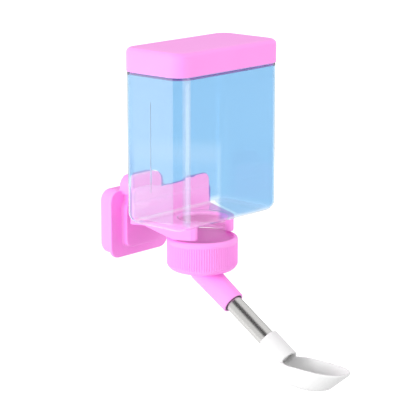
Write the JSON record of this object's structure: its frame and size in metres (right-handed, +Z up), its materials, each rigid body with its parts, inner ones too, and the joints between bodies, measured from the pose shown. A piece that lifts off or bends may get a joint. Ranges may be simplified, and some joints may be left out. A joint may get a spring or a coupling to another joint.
{
  "type": "bird cage waterer",
  "caption": "Clip-on cage waterer with a clear tank under a plug-in lid, ribbed screw cap, inclined ball-valve tube with a drip spoon, and a screw clamp bracket.",
  "frame": {"origin": "on the axis of the clamp stud, in the plane of the bracket's clamping face that bears on the cage wires", "axes": "+Y through the cage wall along the clamp stud, away from the tank; +Z up; +X along the tank's wide face; the spoon points to -Y"},
  "size_m": [0.087, 0.1722, 0.1871],
  "materials": {
    "clear_plastic": "clear blue tinted, glossy",
    "pink_plastic": "opaque candy pink, moulded, semi-gloss",
    "white_plastic": "white, moulded, semi-gloss",
    "stainless_steel": "polished stainless steel",
    "rubber": "dark rubber, matt",
    "silicone": "translucent white silicone"
  },
  "bodies": {
    "holder": {"bracket": "pink_plastic", "bottle": "clear_plastic"},
    "lid": {"lid": "pink_plastic", "lid_seal": "silicone"},
    "washer": {"cap_washer": "silicone"},
    "spout": {"cap": "pink_plastic", "tube": "stainless_steel", "tube_bush": "rubber"},
    "ball": {"ball": "stainless_steel"},
    "spoon": {"spoon": "white_plastic"},
    "pad": {"grip_pad": "rubber"},
    "nut": {"clamp_nut": "pink_plastic"}
  },
  "joints": [
    {"name": "lid_lift", "type": "slide", "parent": "holder", "child": "lid", "axis": [0, 0, 1], "range_m": [0, 0.02]},
    {"name": "cap_travel", "type": "slide", "parent": "holder", "child": "washer", "axis": [0, 0, -1], "range_m": [0, 0.01]},
    {"name": "cap_turn", "type": "hinge", "parent": "washer", "child": "spout", "pos_m": [0, -0.0522, 0], "axis": [0, 0, -1], "range_deg": [0, 900]},
    {"name": "ball_roll", "type": "slide", "parent": "spout", "child": "ball", "axis": [0, 0.8415, 0.5402], "range_m": [0, 0.06]},
    {"name": "spoon_turn", "type": "hinge", "parent": "spout", "child": "spoon", "pos_m": [0, -0.0522, -0.0218], "axis": [0, -0.8415, -0.5402], "continuous": true},
    {"name": "nut_travel", "type": "slide", "parent": "holder", "child": "pad", "axis": [0, 1, 0], "range_m": [0, 0.006]},
    {"name": "nut_turn", "type": "hinge", "parent": "pad", "child": "nut", "pos_m": [0, 0, 0], "axis": [0, 1, 0], "range_deg": [0, 720]}
  ],
  "couplings": [
    {"joint": "cap_travel", "follows": "cap_turn", "m_per_rad": 0.00063662},
    {"joint": "nut_travel", "follows": "nut_turn", "m_per_rad": 0.00047746}
  ]
}
